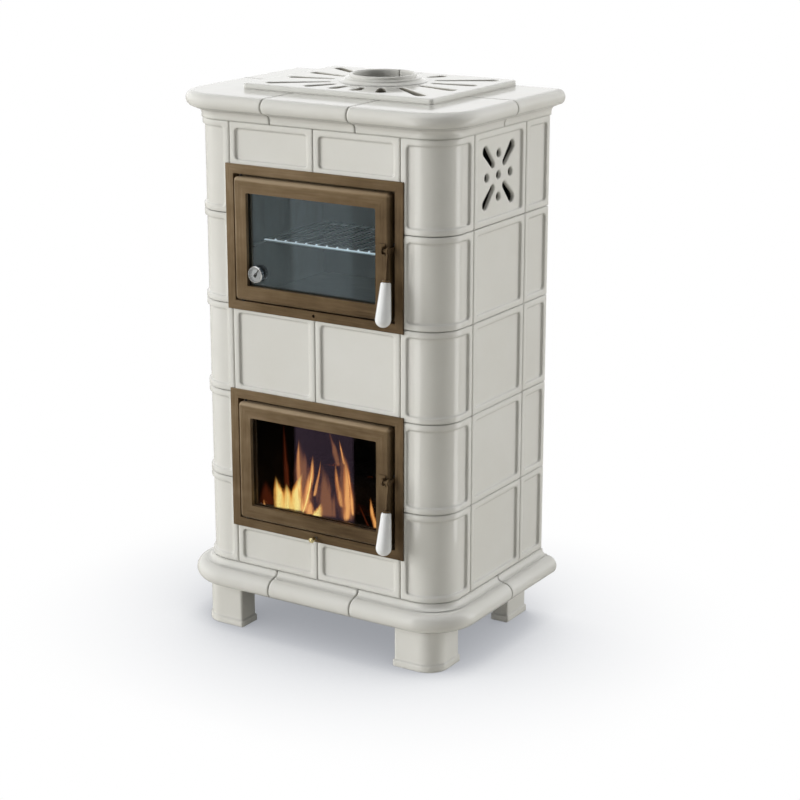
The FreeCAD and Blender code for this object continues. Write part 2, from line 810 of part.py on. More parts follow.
def make_oven():
    """Oven walls welded to the back of the shell front, and a wire rack on the side runners."""
    half = throat_half_width + fitting_gap
    high = throat_half_height + fitting_gap
    end = shell_inside + oven_depth
    start = throat_end + fitting_gap
    rack_level = oven_middle - rack_drop
    runner_top = rack_level - rack_bar_radius - rack_gap
    side = block(half, half + oven_wall, shell_inside, end, oven_middle - high, oven_middle + high)
    runner = block(half - runner_width, half, start, end, runner_top - runner_thickness, runner_top)
    roof = block(-half - oven_wall, half + oven_wall, shell_inside, end,
                 oven_middle + high, oven_middle + high + oven_wall)
    floor = roof.copy()
    floor.translate(UP * (-2 * high - oven_wall))
    rear = block(-half - oven_wall, half + oven_wall, end, end + oven_wall,
                 oven_middle - high - oven_wall, oven_middle + high + oven_wall)
    place("oven_walls", side, mirrored(side), runner, mirrored(runner), roof, floor, rear)

    side_x = half - rack_side_gap - rack_bar_radius
    front_y = start + rack_setback
    back_y = end - rack_back_gap - rack_bar_radius
    wire_level = rack_level + 0.8 * (rack_bar_radius + rack_wire_radius)
    bars = [rod(rack_bar_radius, Vec(-side_x, y, rack_level), Vec(side_x, y, rack_level))
            for y in (front_y, back_y)]
    bars += [rod(rack_bar_radius, Vec(x, front_y, rack_level), Vec(x, back_y, rack_level))
             for x in (-side_x, side_x)]
    bars += [Part.makeSphere(rack_bar_radius, Vec(x, y, rack_level))
             for x in (-side_x, side_x) for y in (front_y, back_y)]
    pitch = 2 * side_x / (rack_wire_count + 1)
    for index in range(rack_wire_count):
        x = (index + 1) * pitch - side_x
        bars.append(rod(rack_wire_radius, Vec(x, front_y, wire_level), Vec(x, back_y, wire_level)))
    place("oven_rack", bars[0].multiFuse(bars[1:]))


def make_frame(name, middle):
    """Bronze frame: flange over the tiles, throat through to the shell, seat for the door's rope seal."""
    flange = window(frame_half_width, frame_half_height, -frame_flange, 0, middle)
    throat = window(throat_half_width, throat_half_height, 0, throat_end, middle)
    seat_back = seat_depth + seat_thickness
    frame = joined(flange, throat)
    frame = frame.cut([window(pocket_half_width, pocket_half_height, -frame_flange - 1, seat_depth, middle),
                       window(pocket_half_width, pocket_half_height, seat_back, throat_end + 1, middle),
                       window(pocket_half_width - seat_width, pocket_half_height - seat_width,
                              0, throat_end, middle)])
    front = edges_where(frame, lambda edge: edge.BoundBox.YMax < -frame_flange + 1e-6)
    frame = frame.makeFillet(frame_edge, front)
    hole = hinge_pin_radius + running_fit
    pin_holes = rod(hole, Vec(hinge_x, hinge_y, middle - throat_half_height),
                    Vec(hinge_x, hinge_y, middle + throat_half_height))
    air_hole = rod(air_rod_radius + running_fit, Vec(0, -2 * frame_flange, middle - air_hole_drop),
                   Vec(0, frame_flange, middle - air_hole_drop))
    place(name + "_frame", frame.cut([pin_holes, air_hole]))


def make_leaf(name, middle):
    """Door leaf with rounded edges, a rebate for the glass, a groove for the seal and two pin holes."""
    def ring_block(half_width_, half_height_, y0, y1, radius):
        return rounded_block(-half_width_, half_width_, y0, y1, middle - half_height_, middle + half_height_,
                             radius, BACK)

    leaf = ring_block(leaf_half_width, leaf_half_height, leaf_front, leaf_back, leaf_corner)
    front = edges_where(leaf, lambda edge: lies_at_depth(edge, leaf_front, flat_depth))
    leaf = leaf.makeFillet(min(leaf_round, 0.9 * leaf_corner), front)
    view = ring_block(view_half_width, view_half_height, leaf_front - 1, leaf_back, view_corner)
    rebate = window(glass_half_width + fitting_gap, glass_half_height + fitting_gap,
                    glass_front, leaf_back + 1, middle)
    room = seal_radius + seal_gap
    groove_floor = leaf_back - groove_depth
    groove = ring_block(seal_half_width + room, seal_half_height + room, groove_floor, leaf_back + 1,
                        seal_corner + room)
    groove = groove.cut(ring_block(seal_half_width - room, seal_half_height - room, groove_floor - 1,
                                   leaf_back + 2, max(seal_corner - room, 1)))
    hole = hinge_pin_radius + running_fit
    depth = hinge_pin_depth + free_gap
    pin_holes = [rod(hole, Vec(hinge_x, hinge_y, middle + sign * (leaf_half_height - depth)),
                     Vec(hinge_x, hinge_y, middle + sign * (leaf_half_height + 1))) for sign in (-1, 1)]
    place(name + "_door", leaf.cut([view, rebate, groove] + pin_holes))

    seal_y = seat_depth - seal_gap - seal_radius
    w = seal_half_width - seal_corner
    h = seal_half_height - seal_corner
    bars = []
    for sign in (-1, 1):
        bars.append(rod(seal_radius, Vec(-w, seal_y, middle + sign * seal_half_height),
                        Vec(w, seal_y, middle + sign * seal_half_height)))
        bars.append(rod(seal_radius, Vec(sign * seal_half_width, seal_y, middle - h),
                        Vec(sign * seal_half_width, seal_y, middle + h)))
    for quarter, (x, z) in enumerate(((w, h), (-w, h), (-w, -h), (w, -h))):
        bend = Part.makeTorus(seal_corner, seal_radius, Vec(0, 0, 0), UP, 0, 360, 90)
        bend.rotate(Vec(0, 0, 0), UP, 90 * quarter)
        bend.rotate(Vec(0, 0, 0), RIGHT, 90)
        bend.translate(Vec(x, seal_y, middle + z))
        bars.append(bend)
    place(name + "_seal", joined(bars[0], *bars[1:]))


def make_glass(name, middle, hole):
    glass = window(glass_half_width, glass_half_height, glass_front, glass_back, middle)
    place(name + "_glass", glass.cut(hole) if hole else glass)
    strip_back = glass_back + strip_thickness
    inner_x = view_half_width + glass_lap / 4
    inner_z = view_half_height + glass_lap / 4
    top = block(-glass_half_width, glass_half_width, glass_back, strip_back,
                middle + inner_z, middle + glass_half_height)
    bottom = block(-glass_half_width, glass_half_width, glass_back, strip_back,
                   middle - glass_half_height, middle - inner_z)
    side = block(inner_x, glass_half_width, glass_back, strip_back, middle - inner_z, middle + inner_z)
    place(name + "_glass_strips", top, bottom, side, mirrored(side))


def make_handle(name, middle):
    """Bracket with a pivot stud on the leaf, flat lever beside the leaf's edge and a ceramic grip on it."""
    pivot = Vec(0, pivot_y, middle + handle_rise)
    ear_right = leaf_half_width - leaf_round
    ear_left = ear_right - lever_thickness
    foot = block(ear_right - bracket_width, ear_right, -bracket_base, 0,
                 -bracket_height / 2, bracket_height / 2)
    foot.translate(Vec(0, leaf_front, pivot.z))
    ear = joined(block(ear_left, ear_right, -pivot_proud, 0, -lever_eye, lever_eye),
                 rod(lever_eye, Vec(ear_left, -pivot_proud, 0), Vec(ear_right, -pivot_proud, 0)))
    ear.translate(Vec(0, leaf_front, pivot.z))
    head_start = lever_right + free_gap
    stud = rod(stud_radius, pivot + RIGHT * ear_left, pivot + RIGHT * head_start)
    head = rod(stud_head_radius, pivot + RIGHT * head_start, pivot + RIGHT * (head_start + stud_head))
    place(name + "_bracket", joined(foot, ear, stud, head))

    axis = Vec(grip_axis_x, 0, 0)
    hanging = [block(lever_left, lever_right, -lever_bar / 2, lever_bar / 2, -lever_length, 0),
               rod(ferrule_radius, axis + UP * grip_top, axis - UP * lever_length),
               rod(tang_radius, axis + UP * (grip_top - tang_length), axis + UP * grip_top)]
    straight = grip_length - grip_ball_radius
    ball = grip_ball_radius * DIAGONAL
    grip = turned(outline((0, 0), (grip_top_radius - grip_round, 0),
                          (grip_top_radius - grip_round * (1 - DIAGONAL), -grip_round * (1 - DIAGONAL),
                           grip_top_radius, -grip_round),
                          (grip_ball_radius, -straight),
                          (ball, -straight - ball, 0, -grip_length)),
                  axis + UP * grip_top, UP)
    grip = grip.cut(rod(tang_radius + running_fit, axis + UP * (grip_top - tang_length - free_gap),
                        axis + UP * (grip_top + 1)))
    for piece in hanging + [grip]:
        piece.rotate(Vec(0, 0, 0), RIGHT, -lever_lean)
    eye = rod(lever_eye, RIGHT * lever_left, RIGHT * lever_right)
    nose = block(lever_left, lever_right, 0, lever_nose_reach, -lever_nose / 2, lever_nose / 2)
    lever = joined(eye, nose, *hanging)
    lever = lever.cut(rod(stud_radius + running_fit, RIGHT * (lever_left - 1), RIGHT * (lever_right + 1)))
    lever.translate(pivot)
    grip.translate(pivot)
    place(name + "_lever", lever)
    place(name + "_grip", grip)


def make_hinges_and_catches():
    """Pins from each frame into the ends of its leaf, and a catch stud over each lever's nose."""
    pins = []
    catches = []
    for middle in (fire_middle, oven_middle):
        for sign in (-1, 1):
            outer = Vec(hinge_x, hinge_y, middle + sign * throat_half_height)
            inner = Vec(hinge_x, hinge_y, middle + sign * (leaf_half_height - hinge_pin_depth))
            pins.append(rod(hinge_pin_radius, outer, inner))
        collar = rod(hinge_collar_radius, Vec(hinge_x, hinge_y, middle - pocket_half_height),
                     Vec(hinge_x, hinge_y, middle - leaf_half_height - free_gap))
        pins[-2] = joined(pins[-2], collar)
        catch = Vec(lever_left, pivot_y + lever_nose_reach - catch_radius,
                    middle + handle_rise + lever_nose / 2 + free_gap + catch_radius)
        catches.append(rod(catch_radius, catch, Vec(pocket_half_width, catch.y, catch.z)))
    place("hinge_pins", *pins)
    place("door_catches", *catches)


dial_middle = Vec(dial_radius + dial_edge_gap - view_half_width, glass_front,
                  oven_middle - view_half_height + dial_rise)


def thermometer_hole():
    return rod(stem_radius + stem_gap, dial_middle + FORWARD, dial_middle + BACK * (glass_thickness + 1))


def make_thermometer():
    """Dial case in front of the oven glass, stem through it, bulb case behind, and a balanced needle."""
    behind = -glass_thickness - case_gap
    cup = dial_proud - dial_recess
    place("thermometer_case",
          turned(outline((0, behind - case_depth), (case_radius, behind - case_depth), (case_radius, behind),
                         (stem_radius, behind), (stem_radius, case_gap), (dial_radius, case_gap),
                         (dial_radius, dial_proud - bezel_width / 2),
                         (dial_radius - bezel_width / 2, dial_proud), (dial_radius - bezel_width, dial_proud),
                         (dial_radius - bezel_width, cup), (spindle_radius, cup),
                         (spindle_radius, dial_proud - bezel_width), (0, dial_proud - bezel_width)),
                 dial_middle, FORWARD))
    back = dial_middle.y - cup - free_gap
    front = back - needle_thickness
    tail_width = needle_width * (needle_length / needle_tail) ** 2
    pointer = block(-needle_width / 2, needle_width / 2, front, back, 0, needle_length)
    tail = block(-tail_width / 2, tail_width / 2, front, back, -needle_tail, 0)
    hub = rod(needle_hub_radius, Vec(0, front, 0), Vec(0, back, 0))
    bore = rod(spindle_radius + running_fit, Vec(0, front - 1, 0), Vec(0, back + 1, 0))
    needle = joined(pointer, tail, hub).cut(bore)
    needle.rotate(Vec(0, 0, 0), BACK, needle_angle)
    needle.translate(Vec(dial_middle.x, 0, dial_middle.z))
    place("thermometer_needle", needle)


def make_air_control():
    """Brass knob on a rod below the fire door; the rod draws a shutter that slides under the hearth."""
    level = fire_middle - air_hole_drop
    rod_start = -frame_flange - air_knob_stand
    slope = DIAGONAL * air_knob_radius
    ball = air_knob_length - air_knob_radius
    place("air_knob", turned(outline((0, 0), (air_knob_neck, 0), (air_knob_neck, ball - slope),
                                     (slope, ball - slope),
                                     (air_knob_radius, ball, slope, ball + slope),
                                     (air_knob_radius * math.sin(math.pi / 8),
                                      ball + air_knob_radius * math.cos(math.pi / 8),
                                      0, air_knob_length)),
                             Vec(0, rod_start, level), FORWARD))
    shutter_start = shell_inside + shutter_setback
    shutter = block(-shutter_width / 2, shutter_width / 2, shutter_start, shutter_start + shutter_depth,
                    level - shutter_thickness / 2, level + shutter_thickness / 2)
    stem = rod(air_rod_radius, Vec(0, rod_start, level), Vec(0, shutter_start + 2 * air_rod_radius, level))
    place("air_slide", joined(stem, shutter))


def make_doors():
    for name, middle, hole in (("fire", fire_middle, None), ("oven", oven_middle, thermometer_hole())):
        make_frame(name, middle)
        make_leaf(name, middle)
        make_glass(name, middle, hole)
        make_handle(name, middle)
    make_hinges_and_catches()


make_parts = (make_feet, make_base, make_cornice, make_front_tiles, make_side_tiles, make_grille,
              make_carcass, make_shell, make_fire_chamber, make_oven, make_doors, make_thermometer,
              make_air_control)
os.makedirs("parts", exist_ok=True)
for make in make_parts:
    make()
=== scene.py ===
import bpy
import math
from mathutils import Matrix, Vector


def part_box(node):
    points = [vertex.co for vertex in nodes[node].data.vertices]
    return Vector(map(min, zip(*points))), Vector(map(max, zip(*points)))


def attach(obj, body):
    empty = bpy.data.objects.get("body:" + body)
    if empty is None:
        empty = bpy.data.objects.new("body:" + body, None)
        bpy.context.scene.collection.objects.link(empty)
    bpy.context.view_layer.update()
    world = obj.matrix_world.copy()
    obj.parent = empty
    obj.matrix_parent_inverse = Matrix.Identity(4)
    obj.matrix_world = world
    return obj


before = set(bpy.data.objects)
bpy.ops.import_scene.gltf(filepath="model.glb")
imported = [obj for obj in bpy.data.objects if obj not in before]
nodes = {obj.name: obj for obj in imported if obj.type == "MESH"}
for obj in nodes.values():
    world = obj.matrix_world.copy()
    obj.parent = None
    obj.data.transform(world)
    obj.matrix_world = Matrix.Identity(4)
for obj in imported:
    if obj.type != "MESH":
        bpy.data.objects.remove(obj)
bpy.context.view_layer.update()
bpy.ops.object.select_all(action="DESELECT")


# Steel carcass: base plate on the feet, angle uprights behind the tile joints, the shell inside them and the
# slotted sheet that closes the back. Sheet steel, galvanised with large dull crystals. The plate, the shell
# and the small irons on it are painted black.
def start_finish(name, roughness, metallic=0.0):
    finish = bpy.data.materials.new(name)
    finish.use_nodes = True
    tree = finish.node_tree
    shader = tree.nodes["Principled BSDF"]
    shader.inputs["Roughness"].default_value = roughness
    shader.inputs["Metallic"].default_value = metallic
    return finish, tree, shader


def axes(tree, kind="Object"):
    where = tree.nodes.new("ShaderNodeTexCoord")
    split = tree.nodes.new("ShaderNodeSeparateXYZ")
    tree.links.new(where.outputs[kind], split.inputs["Vector"])
    return split.outputs


def grain(tree, scale, stretch=(1, 1, 1), detail=4.0, rough=0.55, twist=0.0):
    where = tree.nodes.new("ShaderNodeTexCoord")
    mapping = tree.nodes.new("ShaderNodeMapping")
    mapping.inputs["Scale"].default_value = stretch
    noise = tree.nodes.new("ShaderNodeTexNoise")
    noise.inputs["Scale"].default_value = scale
    noise.inputs["Detail"].default_value = detail
    noise.inputs["Roughness"].default_value = rough
    noise.inputs["Distortion"].default_value = twist
    tree.links.new(where.outputs["Object"], mapping.inputs["Vector"])
    tree.links.new(mapping.outputs["Vector"], noise.inputs["Vector"])
    return noise.outputs["Fac"]


def tones(tree, value, *stops):
    ramp = tree.nodes.new("ShaderNodeValToRGB")
    band = ramp.color_ramp
    while len(band.elements) < len(stops):
        band.elements.new(0.5)
    for element, (place, colour) in zip(band.elements, stops):
        element.position = place
        element.color = (*colour, 1)
    tree.links.new(value, ramp.inputs["Fac"])
    return ramp.outputs["Color"]


def greys(tree, value, low, high, start=0.3, end=0.7):
    return tones(tree, value, (start, (low, low, low)), (end, (high, high, high)))


def paint(tree, shader, value, *stops):
    tree.links.new(tones(tree, value, *stops), shader.inputs["Base Color"])


def polish(tree, shader, value, low, high):
    tree.links.new(greys(tree, value, low, high), shader.inputs["Roughness"])


def maths(tree, operation, first, second=None, third=None):
    node = tree.nodes.new("ShaderNodeMath")
    node.operation = operation
    for socket, value in zip(node.inputs, (first, second, third)):
        if isinstance(value, (int, float)):
            socket.default_value = value
        elif value is not None:
            tree.links.new(value, socket)
    return node.outputs[0]


def smooth(tree, value, low, high):
    ease = tree.nodes.new("ShaderNodeMapRange")
    ease.interpolation_type = "SMOOTHSTEP"
    ease.inputs["From Min"].default_value = low
    ease.inputs["From Max"].default_value = high
    tree.links.new(value, ease.inputs["Value"])
    return ease.outputs["Result"]


def relief(tree, shader, height, depth, strength):
    bump = tree.nodes.new("ShaderNodeBump")
    bump.inputs["Distance"].default_value = depth
    bump.inputs["Strength"].default_value = strength
    tree.links.new(height, bump.inputs["Height"])
    tree.links.new(bump.outputs["Normal"], shader.inputs["Normal"])
    return bump


def coat_nodes(finish, *names):
    for name in names:
        mesh = nodes[name].data
        mesh.materials.clear()
        mesh.materials.append(finish)
        for face in mesh.polygons:
            face.material_index = 0


zinc, tree, shader = start_finish("galvanised_sheet", 0.45, 0.9)
flakes = tree.nodes.new("ShaderNodeTexVoronoi")
flakes.inputs["Scale"].default_value = 90
where = tree.nodes.new("ShaderNodeTexCoord")
tree.links.new(where.outputs["Object"], flakes.inputs["Vector"])
paint(tree, shader, flakes.outputs["Color"], (0.2, (0.36, 0.37, 0.38)), (0.8, (0.46, 0.47, 0.48)))
polish(tree, shader, grain(tree, 40), 0.34, 0.55)
coat_nodes(zinc, "uprights", "rear_panel", "ash_pan", "air_slide")

black, tree, shader = start_finish("heatproof_black", 0.6, 0.2)
paint(tree, shader, grain(tree, 60), (0.3, (0.010, 0.010, 0.011)), (0.7, (0.026, 0.025, 0.025)))
relief(tree, shader, grain(tree, 900, detail=2), 0.0002, 0.4)
coat_nodes(black, "base_plate", "shell_walls", "shell_front", "flue_spigot", "fire_glass_strips",
           "oven_glass_strips", "hinge_pins", "door_catches")


# Glazed earthenware: feet, base and cornice mouldings and tiles with recessed panels, set on the uprights.
# A thick ivory glaze, very slightly wavy and pooled a little darker in places. It rounds every edge that it
# runs over.
edge_rounding = 0.008
ivory, tree, shader = start_finish("ivory_glaze", 0.12)
clouds = grain(tree, 5, detail=3)
specks = grain(tree, 160, detail=2)
tint = maths(tree, "MULTIPLY_ADD", clouds, 0.85, maths(tree, "MULTIPLY", specks, 0.15))
paint(tree, shader, tint, (0.30, (0.665, 0.656, 0.608)), (0.55, (0.688, 0.682, 0.640)),
      (0.75, (0.704, 0.699, 0.663)))
polish(tree, shader, grain(tree, 24), 0.08, 0.14)
shader.inputs["Coat Weight"].default_value = 0.5
shader.inputs["Coat Roughness"].default_value = 0.04
waves = relief(tree, shader, grain(tree, 16, detail=1), 0.0006, 0.10)
rounding = tree.nodes.new("ShaderNodeBevel")
rounding.samples = 6
rounding.inputs["Radius"].default_value = edge_rounding
tree.links.new(rounding.outputs["Normal"], waves.inputs["Normal"])
paired = ("foot_front", "foot_rear", "base_corner", "base_side", "corner_tiles", "side_tiles",
          "cornice_corner", "cornice_side")
coat_nodes(ivory, *[name + "_" + side for name in paired for side in ("left", "right")])
coat_nodes(ivory, "base_front", "front_tiles_bottom", "front_tiles_middle", "front_tiles_top",
           "cornice_front")


# Pierced earthenware: the top grille, laid on the cornice, and a vent tile high on each side. The same glaze,
# with painted shade down the walls of the grille's openings, and near-black painted shade past halfway down
# the vents'.
def shaded_pierced_glaze(name, wall_shade_colour):
    finish = ivory.copy()
    finish.name = name
    tree = finish.node_tree
    base = tree.nodes["Principled BSDF"].inputs["Base Color"]
    # Multiplies the glaze by a dark wall colour where the mask is set: painted shade on the openings' walls.
    shade = tree.nodes.new("ShaderNodeMix")
    shade.data_type = "RGBA"
    shade.blend_type = "MULTIPLY"
    shade.inputs["B"].default_value = (*wall_shade_colour, 1)
    tree.links.new(base.links[0].from_socket, shade.inputs["A"])
    tree.links.new(shade.outputs["Result"], base)
    return finish, tree, axes(tree), shade.inputs["Factor"]


grille_rim = 0.012
grille_face = 1.2215
slot_shaded_glaze, tree, place, painted_wall_shade = shaded_pierced_glaze("ivory_glaze_slot_walls_shaded", (0.46, 0.44, 0.40))
low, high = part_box("top_grille")
middle = (low + high) / 2
half = (high - low) / 2
# Painted shade on the grille's openings: inside the rim and below the top face, the walls go darker.
in_width = maths(tree, "COMPARE", place["X"], middle.x, half.x - grille_rim)
in_depth = maths(tree, "COMPARE", place["Y"], middle.y, half.y - grille_rim)
below = maths(tree, "LESS_THAN", place["Z"], grille_face)
tree.links.new(maths(tree, "MULTIPLY", maths(tree, "MULTIPLY", in_width, in_depth), below), painted_wall_shade)
coat_nodes(slot_shaded_glaze, "top_grille")

vent_shade_depth = 0.011
vent_shade_fade = 0.003
vent_shaded_glaze, tree, place, painted_wall_shade = shaded_pierced_glaze("ivory_glaze_vent_walls_shaded", (0.06, 0.055, 0.05))
# Painted shade: the vents' walls go near black deeper than this from the outer face.
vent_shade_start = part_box("vent_tile_right")[1].x - vent_shade_depth
tree.links.new(smooth(tree, maths(tree, "ABSOLUTE", place["X"]), vent_shade_start, vent_shade_start - vent_shade_fade), painted_wall_shade)
coat_nodes(vent_shaded_glaze, "vent_tile_left", "vent_tile_right")


# Fire chamber: cast-iron hearth and grate, firebrick lining and baffle, standing in the shell. The iron is
# rough and grey-black, the brick is sandy underneath and blackened with soot towards the top.
iron, tree, shader = start_finish("cast_iron", 0.7, 0.5)
paint(tree, shader, grain(tree, 70), (0.3, (0.010, 0.009, 0.009)), (0.7, (0.030, 0.028, 0.026)))
relief(tree, shader, grain(tree, 500, detail=3), 0.0006, 0.6)
coat_nodes(iron, "hearth_plate", "fire_grate")

soot_start = 0.276
soot_rise = 4.0
brick, tree, shader = start_finish("sooted_firebrick", 0.92)
height = maths(tree, "SUBTRACT", axes(tree)["Z"], soot_start)
patches = maths(tree, "MULTIPLY", maths(tree, "SUBTRACT", grain(tree, 14, detail=6), 0.5), 1.2)
soot = maths(tree, "MULTIPLY_ADD", height, soot_rise, patches)
paint(tree, shader, soot, (0.0, (0.040, 0.028, 0.020)), (0.35, (0.010, 0.008, 0.007)),
      (0.8, (0.005, 0.004, 0.004)))
relief(tree, shader, grain(tree, 260, detail=5), 0.0012, 0.7)
coat_nodes(brick, "firebricks", "smoke_baffle")


# Burning wood: two split logs across the grate and a low heap of embers. Charred beech with glowing cracks,
# laid loose on the hearth.
def pick(piece):
    bpy.ops.object.select_all(action="DESELECT")
    piece.select_set(True)
    bpy.context.view_layer.objects.active = piece


def roughen(piece, name, size, amount):
    lumps = bpy.data.textures.new(name, "CLOUDS")
    lumps.noise_scale = size
    displace = piece.modifiers.new(name, "DISPLACE")
    displace.texture = lumps
    displace.texture_coords = "GLOBAL"
    displace.strength = amount
    pick(piece)
    bpy.ops.object.modifier_apply(modifier=displace.name)


def settle(piece, body, finish):
    pick(piece)
    bpy.ops.object.transform_apply(location=True, rotation=True, scale=True)
    bpy.ops.object.shade_smooth_by_angle(angle=math.radians(40))
    piece.data.materials.clear()
    piece.data.materials.append(finish)
    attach(piece, body)


char, tree, shader = start_finish("charred_wood", 0.85)
paint(tree, shader, grain(tree, 90, (0.25, 1, 1), detail=6), (0.3, (0.003, 0.003, 0.003)),
      (0.6, (0.005, 0.004, 0.004)), (0.8, (0.009, 0.007, 0.006)))
cracks = tree.nodes.new("ShaderNodeTexVoronoi")
cracks.feature = "DISTANCE_TO_EDGE"
cracks.inputs["Scale"].default_value = 80
where = tree.nodes.new("ShaderNodeTexCoord")
tree.links.new(where.outputs["Object"], cracks.inputs["Vector"])
cracked = maths(tree, "LESS_THAN", cracks.outputs["Distance"], 0.03)
alight = maths(tree, "MULTIPLY", cracked, maths(tree, "GREATER_THAN", grain(tree, 26), 0.62))
tree.links.new(tones(tree, alight, (0.0, (0, 0, 0)), (1.0, (1.0, 0.22, 0.03))),
               shader.inputs["Emission Color"])
shader.inputs["Emission Strength"].default_value = 0.2
relief(tree, shader, cracks.outputs["Distance"], 0.004, 0.8)

hearth_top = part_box("fire_grate")[1].z
log_radius = 0.036
log_sunk = 0.006
split_place = (0.012, 0, 0)
split_face = (1, 0.35, 0)
bark_size = 0.02
bark_depth = 0.008
for name, middle, turn, length in (("log_rear", (-0.020, 0.060, 0.045), 6, 0.30),
                                   ("log_front", (0.020, -0.012, 0.040), -9, 0.27)):
    bpy.ops.mesh.primitive_cylinder_add(vertices=28, radius=log_radius, depth=length)
    log = bpy.context.object
    log.name = name
    bpy.ops.object.mode_set(mode="EDIT")
    bpy.ops.mesh.select_all(action="SELECT")
    bpy.ops.mesh.bisect(plane_co=split_place, plane_no=split_face, use_fill=True, clear_outer=True)
    bpy.ops.mesh.select_all(action="SELECT")
    bpy.ops.mesh.subdivide(number_cuts=5)
    bpy.ops.object.mode_set(mode="OBJECT")
    log.rotation_euler = (0, math.radians(90), math.radians(turn))
    log.location = Vector(middle) + Vector((0, 0, hearth_top - log_sunk))
    bpy.ops.object.transform_apply(location=True, rotation=True, scale=True)
    roughen(log, name + "_bark", bark_size, bark_depth)
    settle(log, "stove", char)

embers, tree, shader = start_finish("embers", 0.9)
paint(tree, shader, grain(tree, 120, detail=5), (0.35, (0.004, 0.004, 0.004)), (0.7, (0.014, 0.012, 0.011)))
tree.links.new(tones(tree, grain(tree, 60, detail=5), (0.45, (0, 0, 0)), (0.6, (0.9, 0.10, 0.01)),
                     (0.75, (1.0, 0.42, 0.08))), shader.inputs["Emission Color"])
shader.inputs["Emission Strength"].default_value = 0.01
relief(tree, shader, grain(tree, 150, detail=5), 0.004, 0.9)
heap_half = (0.155, 0.095, 0.018)
heap_middle = (0, 0.022, hearth_top)
lump_size = 0.012
lump_depth = 0.010
bpy.ops.mesh.primitive_uv_sphere_add(segments=48, ring_count=24, radius=1)
heap = bpy.context.object
heap.name = "ember_heap"
heap.scale = heap_half
heap.location = heap_middle
bpy.ops.object.mode_set(mode="EDIT")
bpy.ops.mesh.select_all(action="SELECT")
bpy.ops.mesh.bisect(plane_co=heap_middle, plane_no=(0, 0, 1), use_fill=True, clear_inner=True)
bpy.ops.object.mode_set(mode="OBJECT")
bpy.ops.object.transform_apply(location=True, rotation=True, scale=True)
roughen(heap, "ember_lumps", lump_size, lump_depth)
settle(heap, "stove", embers)


# Flames over the logs: ribbons of burning gas that rise from the wood and lick to a point, yellow in the core
# and orange to dull red at their soft edges, before wide thin veils. They are light only, with no body.
def clear_finish(name, kind):
    finish = bpy.data.materials.new(name)
    finish.use_nodes = True
    tree = finish.node_tree
    tree.nodes.clear()
    output = tree.nodes.new("ShaderNodeOutputMaterial")
    mix = tree.nodes.new("ShaderNodeMixShader")
    clear = tree.nodes.new("ShaderNodeBsdfTransparent")
    shown = tree.nodes.new(kind)
    tree.links.new(clear.outputs["BSDF"], mix.inputs[1])
    tree.links.new(shown.outputs[0], mix.inputs[2])
    tree.links.new(mix.outputs["Shader"], output.inputs["Surface"])
    return finish, tree, clear, shown, mix.inputs["Fac"]


def flame_finish(name, cover, edge, middle, core):
    finish, tree, clear, light, shown = clear_finish(name, "ShaderNodeEmission")
    light.inputs["Strength"].default_value = 1.5
    place = axes(tree, "UV")
    rise = place["Y"]
    across = maths(tree, "ABSOLUTE", maths(tree, "MULTIPLY_ADD", place["X"], 2, -1))
    inside = maths(tree, "SUBTRACT", 1.0, across)
    lick = maths(tree, "SUBTRACT", grain(tree, 85, (1, 1, 0.14), twist=0.7), 0.5)
    body = maths(tree, "MULTIPLY_ADD", lick, 1.5, inside)
    heat = maths(tree, "MULTIPLY_ADD", rise, -0.45, maths(tree, "ADD", body, 0.15))
    tree.links.new(tones(tree, heat, (0.10, edge), (0.45, middle), (0.85, core)), light.inputs["Color"])
    sides = maths(tree, "MULTIPLY", smooth(tree, body, 0.0, 0.80), smooth(tree, inside, 0.0, 0.35))
    ends = maths(tree, "MULTIPLY", smooth(tree, rise, 0.0, 0.07), smooth(tree, rise, 1.0, 0.55))
    tree.links.new(maths(tree, "MULTIPLY", maths(tree, "MULTIPLY", sides, cover), ends), shown)
    return finish


def flame_line(foot, tip, half, bow, neck, rise):
    thinnest = 0.3
    widest = 0.28 if neck < 1 else 0.0
    x = foot[0] + (tip[0] - foot[0]) * rise + bow * math.sin(math.pi * rise)
    z = foot[1] + (tip[1] - foot[1]) * rise
    if rise < widest:
        swell = neck + (1 - neck) * math.sin(math.pi / 2 * rise / widest)
    else:
        swell = math.cos(math.pi / 2 * (rise - widest) / (1 - widest))
    return x, z, max(half * swell, thinnest)


bright = flame_finish("flame_yellow", 1.0, (0.80, 0.24, 0.03), (1.0, 0.52, 0.12), (1.0, 0.82, 0.28))
warm = flame_finish("flame_orange", 0.85, (0.25, 0.06, 0.01), (0.58, 0.20, 0.05), (0.95, 0.46, 0.14))
veil = flame_finish("flame_veil", 0.55, (0.09, 0.03, 0.02), (0.22, 0.085, 0.04), (0.36, 0.15, 0.06))
glow = flame_finish("flame_red", 0.60, (0.015, 0.002, 0.001), (0.04, 0.008, 0.003), (0.10, 0.018, 0.006))
